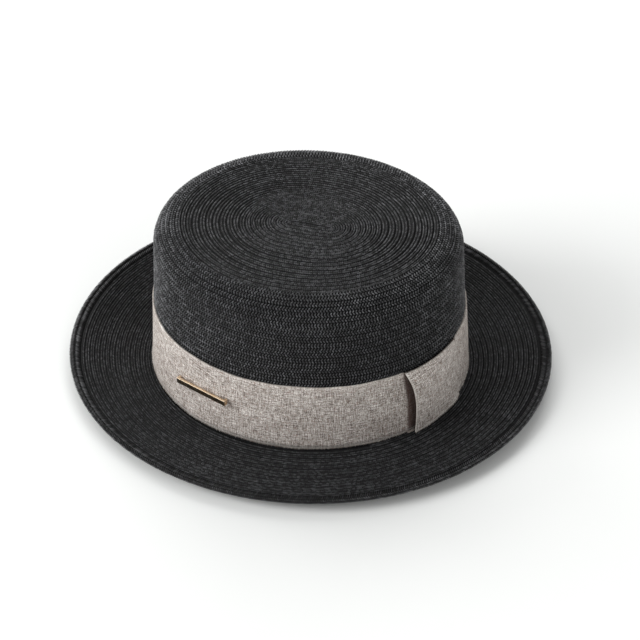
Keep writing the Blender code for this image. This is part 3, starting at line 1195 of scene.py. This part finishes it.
@dataclass
class StrawHat:
    """The crown, the brim and the edge braid.

    The crown's strands reach down the wall as far as wall_strand_reach below the shoulder, which is
    behind the ribbon's top.
    """

    crown: CrownForm
    brim: BrimForm
    crown_steps: int = 160
    brim_steps: int = 240
    edge_steps: int = 360
    wall_strand_reach: float = 0.0460
    edge_thickness: float = 0.0023
    edge_pitch: float = 0.00138
    top_size: StrandSize = StrandSize(0.00108, 0.00078, 1)
    wall_size: StrandSize = StrandSize(0.00092, 0.00110, 11)
    upper_size: StrandSize = StrandSize(0.00092, 0.00072, 3)
    under_size: StrandSize = StrandSize(0.00092, 0.00072, 5)
    edge_size: StrandSize = StrandSize(0.00078, 0.00130, 7)

    def __post_init__(self) -> None:
        """Makes the straw's finishes. The strands of the brim, edge, top and wall are one straw in copies of
        differing paleness, the wall's palest and the brim's darkest: painted light and shade.
        """
        self.straw = StrawFinish(
            "straw", (0.0025, 0.0025, 0.0028), (0.020, 0.0202, 0.0212), STRAND_PITCH).material()
        # Painted light and shade: each area's strands are a paler or darker copy of the same straw.
        self.brim_strands = StrandFinish(
            "brim_strands", (0.0032, 0.0032, 0.0035), (0.088, 0.089, 0.094), 0.52, 0.38).material()
        self.edge_strands = StrandFinish(
            "edge_strands", (0.0100, 0.0100, 0.0106), (0.150, 0.1515, 0.158), 0.44, 0.5).material()
        # Painted shade: the edge braid's core is near black, the shade in the gaps between its strands.
        self.edge_ground = StrandFinish(
            "edge_ground", (0.0020, 0.0020, 0.0022), (0.004, 0.0040, 0.0042), 0.70, 0.2).material()
        self.top_strands = StrandFinish(
            "top_strands", (0.0035, 0.0035, 0.0038), (0.135, 0.1365, 0.143), 0.46, 0.5).material()
        self.wall_strands = StrandFinish(
            "wall_strands", (0.0030, 0.0030, 0.0032), (0.235, 0.2375, 0.248), 0.42, 0.55, 0.19).material()

    def build_crown(self) -> None:
        """The crown's wall and the strands on its outside."""
        crown = self.crown
        wall = SpiralSkin(crown, self.crown_steps, STRAW_WALL).build("crown_rows", False)
        finish_piece(wall, self.straw, "crown")
        shoulder_row = crown.row_at(crown.top_length)
        last = crown.row_at(crown.top_length + crown.shoulder_length + self.wall_strand_reach)
        top_lines = [
            PlaitLine(0.28, math.radians(28), 0.00215, -0.00032, 0.0, shoulder_row),
            PlaitLine(0.74, math.radians(-28), 0.00215, -0.00024, 0.0, shoulder_row),
        ]
        wall_lines = [
            PlaitLine(0.28, math.radians(56), 0.00225, -0.00016, shoulder_row, last),
            PlaitLine(0.74, math.radians(-56), 0.00225, -0.00008, shoulder_row, last),
        ]
        laid = [lay_line(crown, line, STRAND_PITCH, Side.OUTER, STRAW_WALL) for line in top_lines]
        laid.append(self.core_line())
        piece = StrandScatter(self.top_strands).lay("top_plait", laid, self.top_size)
        finish_piece(piece, None, "crown")
        laid = [lay_line(crown, line, WALL_STRAND_PITCH, Side.OUTER, STRAW_WALL) for line in wall_lines]
        piece = StrandScatter(self.wall_strands).lay("wall_plait", laid, self.wall_size)
        finish_piece(piece, None, "crown")

    def core_line(self) -> LaidPoints:
        """Strands along the straight length of braid that the crown's top starts from.

        Returns:
            The strands' places.
        """
        along = np.arange(-0.5, 0.5, STRAND_PITCH / self.crown.core_length) * self.crown.core_length
        way = np.array([math.cos(self.crown.core_turn), math.sin(self.crown.core_turn), 0.0])
        middle = np.array([*self.crown.core_middle, self.crown.height - self.crown.dish - 0.00045])
        facing = np.tile([0.0, 0.0, 1.0], (len(along), 1))
        heading = slanted(np.tile(way, (len(along), 1)), facing, math.radians(28))
        return LaidPoints(middle + along[:, None] * way, facing, heading, np.full(len(along), 0.0024))

    def build_brim(self) -> None:
        """The brim's wall and the strands on both of its sides."""
        wall = SpiralSkin(self.brim, self.brim_steps, STRAW_WALL).build("brim_rows", True)
        finish_piece(wall, self.straw, "brim")
        scatter = StrandScatter(self.brim_strands)
        sides = (
            (Side.OUTER, "brim_plait_upper", self.upper_size),
            (Side.INNER, "brim_plait_under", self.under_size),
        )
        for side, name, size in sides:
            first = 1.1 if side is Side.OUTER else 0.0
            deeper = 0.0 if side is Side.OUTER else -0.00028
            lines = [
                PlaitLine(0.28, math.radians(19), 0.00235, -0.00034 + deeper, first, self.brim.rows),
                PlaitLine(0.74, math.radians(-19), 0.00235, -0.00026 + deeper, first, self.brim.rows),
            ]
            laid = [lay_line(self.brim, line, STRAND_PITCH, side, STRAW_WALL) for line in lines]
            piece = scatter.lay(name, laid, size)
            finish_piece(piece, None, "brim")

    def edge_ring(self, out: float, up: float, turn: np.ndarray) -> np.ndarray:
        """Points round the edge braid at one place of its section.

        Args:
            out: Share of the braid's width outwards.
            up: Share of its thickness upwards.
            turn: Directions of the outline's normal.

        Returns:
            One point for each turn.
        """
        offset = self.brim.width - self.brim.edge_width * (1 - out)
        x, y = self.brim.oval.point(turn, offset)
        height = self.brim.rise(offset) + self.edge_thickness * up
        return np.stack([x, y, height + 0 * x], axis=-1)

    def build_edge(self) -> None:
        """The wide braid that finishes the brim, with strands on its ridges and round its side."""
        steps = self.edge_steps
        turn = FULL_TURN * np.arange(steps) / steps
        rings = [self.edge_ring(row["out"], row["up"], turn) for row in EDGE_SECTION]
        count = len(rings)
        ring = np.arange(count)[:, None]
        step = np.arange(steps)[None, :]
        after = (ring + 1) % count
        beside = (step + 1) % steps
        corners = (ring * steps + step, after * steps + step, after * steps + beside, ring * steps + beside)
        faces = np.stack(np.broadcast_arrays(*corners), axis=-1).reshape(-1, 4)
        core = mesh_object("edge_core", np.concatenate(rings), faces, None)
        finish_piece(core, self.edge_ground, "brim_edge")
        laid = [self.edge_line(row) for row in EDGE_LINES]
        made = StrandScatter(self.edge_strands).lay("edge_plait", laid, self.edge_size)
        finish_piece(made, None, "brim_edge")

    def edge_line(self, row: dict[str, float]) -> LaidPoints:
        """One line of strands round the edge braid.

        Args:
            row: The line's row in its table.

        Returns:
            The strands' places.
        """
        fine = np.linspace(0.0, FULL_TURN, 7200)
        distance = path_distance(self.edge_ring(row["out"], row["up"], fine))
        count = round(distance[-1] / self.edge_pitch)
        turn = np.interp(np.arange(count) * distance[-1] / count, distance, fine)
        points = self.edge_ring(row["out"], row["up"], turn)
        tangent = np.stack([-np.sin(turn), np.cos(turn), 0 * turn], axis=-1)
        outward = np.stack([np.cos(turn), np.sin(turn), 0 * turn], axis=-1)
        upward = np.array([0.0, 0.0, 1.0])
        lean = math.radians(row["lean"])
        facing = upward * math.cos(lean) - outward * math.sin(lean)
        heading = slanted(tangent, facing, math.radians(row["slant"]))
        return LaidPoints(points, facing, heading, np.full(count, row["span"]))


@dataclass
class Trim:
    """The ribbon, the wrap over its join, and the gold bar.

    The ribbon's edges are at the heights low and high. Its cloth is closed and has no ends, so its
    finish takes it for longer than it is, which leaves one pale line, at its start.
    """

    crown: CrownForm
    low: float
    high: float
    band_steps: int = 288
    band_levels: int = 14
    band_finish_length: float = 2.0
    wave: float = 0.00025
    sag: float = 0.0013
    sag_turn: float = math.radians(-30)
    sag_spread: float = 0.7
    opening_shade_width: float = 0.0042
    wrap_turn: float = math.radians(-34.05)
    wrap_spread: float = math.radians(28.9)
    wrap_slant: float = math.radians(3.1)
    wrap_overlap: float = 0.0005
    wrap_lift: float = 0.0055
    wrap_fold: float = 0.0012
    wrap_dip: float = 0.0010
    wrap_thickness: float = 0.0006
    tuft_threads: int = 18
    thread_pitch: float = 0.00085
    thread_shift: float = 0.00025
    bar_turn: float = math.radians(-120.3)

    def __post_init__(self) -> None:
        """Makes the loose threads' finish."""
        self.threads = StrandFinish(
            "linen_threads", (0.30, 0.255, 0.225), (0.85, 0.815, 0.765), 0.85, 0.2).material()

    def band_point(self, turn: np.ndarray, height: np.ndarray, lift: float) -> np.ndarray:
        """Points that stand off the crown's wall by lift."""
        x, y = self.crown.oval.point(turn, self.crown.wall_offset(height) + lift)
        return np.stack([x, y, height + 0 * x], axis=-1)

    def build_band(self) -> None:
        """The ribbon round the foot of the crown, with slightly uneven edges that dip at the right."""
        turn = FULL_TURN * np.arange(self.band_steps + 1) / self.band_steps
        share = np.linspace(0.0, 1.0, self.band_levels + 1)
        turns, shares = np.meshgrid(turn, share)
        wave = self.wave * np.sin(7 * turns + 1.0) * np.sin(math.pi * shares)
        height = self.low + (self.high - self.low) * shares
        edge = 0.00018 * np.sin(11 * turns) + 0.00012 * np.sin(29 * turns + 2.0)
        height = height + edge * (2 * shares - 1)
        sag = self.sag * np.exp(-(turn_apart(turns, self.sag_turn) / self.sag_spread) ** 2)
        wrap_middle = self.wrap_turn - self.wrap_slant / 2
        wrap_reach = (self.wrap_spread + self.wrap_slant) / 2
        covered = turn_apart(turns, wrap_middle) < wrap_reach
        height = height - (sag + self.wrap_dip * covered) * shares
        points = self.band_point(turns, height, GAP + RIBBON_THICKNESS + wave)
        distance = path_distance(points[self.band_levels // 2])
        uv = np.stack([np.broadcast_to(distance, turns.shape), shares * (self.high - self.low)], axis=-1)
        band = cloth("ribbon_band", points, uv, RIBBON_THICKNESS, closed=True)
        left = self.wrap_turn - self.wrap_spread / 2
        right = left + self.wrap_spread
        # The painted shade reaches this far past the wrap's open side, into its opening.
        start = float(np.interp(left % FULL_TURN, turn, distance)) - self.opening_shade_width
        stop = float(np.interp(right % FULL_TURN, turn, distance))
        linen = LinenFinish(
            "ribbon_linen", self.high - self.low, self.band_finish_length, (start, stop), 0.012)
        finish_piece(band, linen.material(), "hat_band")
        threads = self.fringe("ribbon_threads", points[0], points[-1], 13)

    def tuft(self) -> LaidPoints:
        """Frayed threads at the foot of the wrap's opening.

        Returns:
            The threads' places.
        """
        left = self.wrap_turn - self.wrap_spread / 2
        random = np.random.default_rng(23)
        turn = np.linspace(left - math.radians(2.6), left + math.radians(0.4), self.tuft_threads)
        points = self.band_point(turn, self.low + random.uniform(-0.0003, 0.0009, len(turn)), 0.0028)
        facing = np.stack([np.cos(turn), np.sin(turn), 0 * turn], axis=-1)
        tangent = np.stack([-np.sin(turn), np.cos(turn), 0 * turn], axis=-1)
        heading = unit(np.array([0.0, 0.0, 1.0]) + tangent * random.uniform(-0.8, 0.8, len(turn))[:, None])
        return LaidPoints(points, facing, heading, random.uniform(0.0016, 0.0026, len(turn)))

    def fringe(self, name: str, lower: np.ndarray, upper: np.ndarray, seed: int,
               more: Sequence[LaidPoints] = ()) -> bpy.types.Object:
        """Short threads that stand out of a cloth's lower and upper edges.

        Args:
            name: Name of the piece.
            lower: Points along the lower edge, going round to the left seen from outside.
            upper: Points along the upper edge.
            seed: Seed of the threads' unevenness.
            more: Further threads of the piece.

        Returns:
            The piece.
        """
        random = np.random.default_rng(seed)
        laid = list(more)
        for edge, side, span, out in ((lower, -1, 0.0019, 0.0001), (upper, 1, 0.0007, -0.0002)):
            distance = path_distance(edge)
            places = np.arange(0.0, distance[-1], self.thread_pitch)
            places = places + random.uniform(-self.thread_shift, self.thread_shift, len(places))
            points = read_path(places, distance, edge)
            ahead = read_path(places + 0.001, distance, edge)
            behind = read_path(places - 0.001, distance, edge)
            tangent = unit(ahead - behind)
            facing = unit(np.cross(tangent, [0.0, 0.0, 1.0]))
            points = points + facing * out
            lean = random.uniform(-0.45, 0.45, len(places))[:, None]
            heading = unit(np.array([0.0, 0.0, 1.0]) + tangent * lean)
            points[:, 2] += side * 0.0002
            laid.append(LaidPoints(points, facing, heading, random.uniform(0.5, 1.15, len(places)) * span))
        piece = StrandScatter(self.threads).lay(name, laid, StrandSize(0.00042, 0.00055, seed))
        finish_piece(piece, None, "hat_band" if name == "ribbon_threads" else "band_wrap")
        return piece

    def wrap_grid(self, across: np.ndarray, down: np.ndarray) -> np.ndarray:
        """Points of the wrap's outer face.

        Args:
            across: Shares of its width, from its open side.
            down: Shares of its length, from its top.

        Returns:
            One point for each pair of shares.
        """
        high = self.high + self.wrap_overlap - self.wrap_dip
        low = self.low - self.wrap_overlap + 0.0011 * across ** 5
        height = high + (low - high) * down
        turn = self.wrap_turn + self.wrap_spread * (across - 0.5) - self.wrap_slant * (1 - down) ** 3
        opening = read_soft(WRAP_COLUMNS, "across", "open", across)
        fold = read_soft(WRAP_COLUMNS, "across", "fold", across)
        lift = self.wrap_lift * opening * read_soft(WRAP_LEVELS, "down", "lift", down)
        lift = lift + self.wrap_fold * fold * down ** 1.5
        lift = lift + 0.00012 * np.sin(9 * across + 5 * down) * np.sin(math.pi * down)
        return self.band_point(turn, height, 2 * (GAP + RIBBON_THICKNESS) + lift)

    def build_wrap(self) -> None:
        """The strip of ribbon over the band's join, open at its left side, with its loose threads."""
        across, up = np.meshgrid(np.linspace(0.0, 1.0, 57), np.linspace(0.0, 1.0, 45))
        points = self.wrap_grid(across, 1.0 - up)
        width = float(np.linalg.norm(np.diff(points, axis=1), axis=-1).sum(axis=1).mean())
        length = float(np.linalg.norm(np.diff(points, axis=0), axis=-1).sum(axis=0).mean())
        uv = np.stack([across * width, up * length], axis=-1)
        wrap = cloth("ribbon_wrap", points, uv, self.wrap_thickness, closed=False)
        # Painted light: the wrap's linen is paler than the band's, the same cloth made lighter where it
        # stands off the band.
        linen = LinenFinish("wrap_linen", length, width, (0.0, 0.0), 0.03)
        finish_piece(wrap, linen.material(), "band_wrap")
        threads = self.fringe("wrap_threads", points[0], points[-1], 17, (self.tuft(),))
        log.info("wrap is %.4f m wide and %.4f m long", width, length)

    def dress_bar(self) -> None:
        """Gives the bar its gold."""
        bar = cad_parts["metal_bar"]
        gold = GoldFinish("rose_gold", self.bar_turn + math.pi / 2).material()
        for index in range(max(1, len(bar.material_slots))):
            if not bar.material_slots:
                bar.data.materials.append(gold)
            bar.material_slots[index].material = gold


def cloth(name: str, points: np.ndarray, uv: np.ndarray, thickness: float, closed: bool
          ) -> bpy.types.Object:
    """A sheet of cloth with its flat measures as a UV map.

    Args:
        name: Name of the piece.
        points: A grid of points, rows going up and columns going round to the left seen from outside.
        uv: The same grid's measures on the flat cloth.
        thickness: The cloth's thickness, laid inwards.
        closed: True where the last column is the first again.

    Returns:
        The piece.
    """
    rows, columns = points.shape[:2]
    used = columns - 1 if closed else columns
    row = np.arange(rows - 1)[:, None]
    step = np.arange(columns - 1)[None, :]
    beside = (step + 1) % used if closed else step + 1
    corners = (row * used + step, row * used + beside, (row + 1) * used + beside, (row + 1) * used + step)
    faces = np.stack(np.broadcast_arrays(*corners), axis=-1).reshape(-1, 4)
    obj = mesh_object(name, points[:, :used].reshape(-1, 3), faces, None)
    flat = (row * columns + step, row * columns + step + 1, (row + 1) * columns + step + 1,
            (row + 1) * columns + step)
    order = np.stack(np.broadcast_arrays(*flat), axis=-1).reshape(-1)
    layer = obj.data.uv_layers.new(name="weave")
    layer.data.foreach_set("uv", uv.reshape(-1, 2)[order].astype(np.float32).ravel())
    wall = obj.modifiers.new("Cloth", "SOLIDIFY")
    wall.thickness = thickness
    wall.offset = -1.0
    return obj


def finish_piece(piece: bpy.types.Object, material: bpy.types.Material | None, node: str) -> None:
    """Dresses a piece, puts it under the root body, hides the part that it stands for and reports it.

    Args:
        piece: The piece.
        material: Its finish, or None where it has one already.
        node: The node that the piece stands for.
    """
    if material is not None:
        piece.data.materials.clear()
        piece.data.materials.append(material)
    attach(piece, "root")
    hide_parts(node)
    log.info("%s: %d faces", piece.name, len(piece.data.polygons))


class Studio:
    """The floor, the lights and the camera."""

    def build(self) -> None:
        """Sets up all three."""
        self.add_floor()
        self.add_lights()
        self.add_camera()

    def add_floor(self) -> None:
        """A wide pale floor."""
        bpy.ops.mesh.primitive_plane_add(size=12.0)
        floor = bpy.context.object
        floor.name = "floor"
        floor.data.materials.append(FloorFinish("floor_paint").material())

    def add_lights(self) -> None:
        """Large soft lights, most of them on the left, and even daylight."""
        lights = (
            {"name": "window_low", "place": (-4.6, -2.05, 2.6), "size": 3.0, "power": 194.0},
            {"name": "window_high", "place": (-4.2, -1.87, 3.86), "size": 2.6, "power": 108.0},
            {"name": "left_back", "place": (-3.6, 3.0, 3.4), "size": 2.6, "power": 80.0},
            {"name": "back", "place": (-0.4, 4.5, 3.8), "size": 4.0, "power": 150.0},
            {"name": "right_fill", "place": (4.0, -3.0, 3.5), "size": 3.0, "power": 74.0},
        )
        for row in lights:
            data = bpy.data.lights.new(row["name"], "AREA")
            data.size = row["size"]
            data.energy = row["power"]
            lamp = bpy.data.objects.new(row["name"], data)
            lamp.location = row["place"]
            aim = Vector((0.0, 0.0, 0.03)) - lamp.location
            lamp.rotation_euler = aim.to_track_quat("-Z", "Y").to_euler()
            bpy.context.scene.collection.objects.link(lamp)
        world = bpy.data.worlds.new("daylight")
        world.use_nodes = True
        world.node_tree.nodes["Background"].inputs["Color"].default_value = (1.0, 1.0, 1.0, 1.0)
        world.node_tree.nodes["Background"].inputs["Strength"].default_value = 0.43
        bpy.context.scene.world = world
        bpy.context.scene.view_settings.view_transform = "Standard"

    def add_camera(self) -> None:
        """The photo's camera."""
        data = bpy.data.cameras.new("camera")
        data.sensor_width = SENSOR_WIDTH
        data.lens = LENS
        camera = bpy.data.objects.new("camera", data)
        right = Vector(CAMERA_RIGHT)
        up = Vector(CAMERA_UP)
        axes = Matrix((right, up, right.cross(up))).transposed()
        camera.matrix_world = Matrix.Translation(CAMERA_PLACE) @ axes.to_4x4()
        bpy.context.scene.collection.objects.link(camera)
        bpy.context.scene.camera = camera


def main() -> None:
    """Builds the stage, then the straw, then the trim."""
    logging.basicConfig(level=logging.INFO, format="%(message)s")
    Studio().build()
    crown_low, crown_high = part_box("crown")
    edge_low, edge_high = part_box("brim_edge")
    band_low, band_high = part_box("hat_band")
    oval = HeadOval(crown_high.x - crown_low.x - 2 * STRAW_WALL, crown_high.y - crown_low.y - 2 * STRAW_WALL)
    crown = CrownForm(oval, crown_high.z, crown_low.z - FOOT_REACH, band_low.z)
    brim = BrimForm(oval, (edge_high.x - edge_low.x - oval.length) / 2)
    hat = StrawHat(crown, brim)
    hat.build_crown()
    hat.build_brim()
    hat.build_edge()
    trim = Trim(crown, band_low.z, band_high.z)
    trim.build_band()
    trim.build_wrap()
    trim.dress_bar()


if __name__ == "__main__":
    main()
